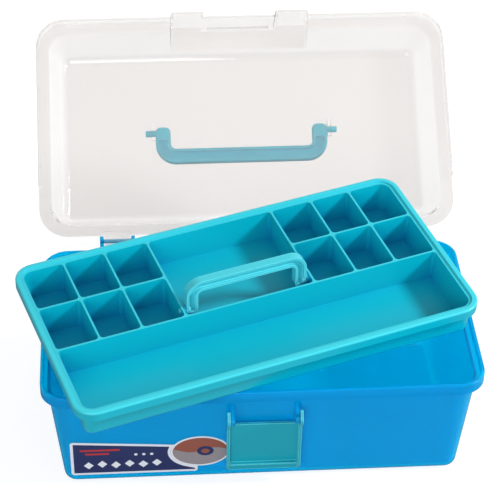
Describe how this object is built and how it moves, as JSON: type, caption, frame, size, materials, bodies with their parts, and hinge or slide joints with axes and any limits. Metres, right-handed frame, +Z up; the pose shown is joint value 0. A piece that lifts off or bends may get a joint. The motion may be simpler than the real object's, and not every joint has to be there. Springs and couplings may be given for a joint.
{
  "type": "tackle box",
  "caption": "Open craft and tackle box: clear lid leaning back, lift-out tray with compartments laid across a translucent body, carrying handles and a front latch.",
  "frame": {"origin": "centre of the box's flat underside", "axes": "+Z up, -Y out of the front with the latch, +X to the right along the long side"},
  "size_m": [0.3511, 0.3919, 0.2272],
  "materials": {
    "body_plastic": "glossy translucent",
    "pin_plastic": "glossy",
    "lid_plastic": "clear, glossy",
    "handle_plastic": "glossy",
    "tray_plastic": "satin gloss",
    "tray_handle_plastic": "glossy",
    "latch_plastic": "glossy",
    "label_paper": "satin printed film",
    "oval_paper": "satin printed film"
  },
  "bodies": {
    "box": {"box_body": "body_plastic", "hinge_pins": "pin_plastic", "front_label": "label_paper", "oval_label": "oval_paper"},
    "lid": {"lid": "lid_plastic"},
    "lid_grip": {"lid_handle": "handle_plastic"},
    "tray": {"tray": "tray_plastic"},
    "tray_bail": {"tray_handle": "tray_handle_plastic"},
    "latch": {"front_latch": "latch_plastic"}
  },
  "joints": [
    {"name": "lid_hinge", "type": "hinge", "parent": "box", "child": "lid", "pos_m": [0, 0.0955, 0.102], "axis": [1, 0, 0], "range_deg": [0, 142]},
    {"name": "lid_handle_hinge", "type": "hinge", "parent": "lid", "child": "lid_grip", "pos_m": [0, 0.19876, 0.1342], "axis": [1, 0, 0], "range_deg": [0, 180]},
    {"name": "tray_lift_off", "type": "slide", "parent": "box", "child": "tray", "axis": [0, -0.9538, 0.3003], "range_m": [0, 0.29]},
    {"name": "tray_handle_hinge", "type": "hinge", "parent": "tray", "child": "tray_bail", "pos_m": [-0.0098, -0.00654, 0.12688], "axis": [-0.9494, -0.3133, -0.0201], "range_deg": [0, 88]},
    {"name": "latch_hinge", "type": "hinge", "parent": "box", "child": "latch", "pos_m": [0, -0.09, 0.075], "axis": [-1, 0, 0], "range_deg": [0, 184]}
  ],
  "couplings": [
    {"joint": "tray_lift_off", "follows": "lid_hinge", "m_per_rad": 0.11419},
    {"joint": "latch_hinge", "follows": "lid_hinge", "ratio": 1.2957}
  ]
}
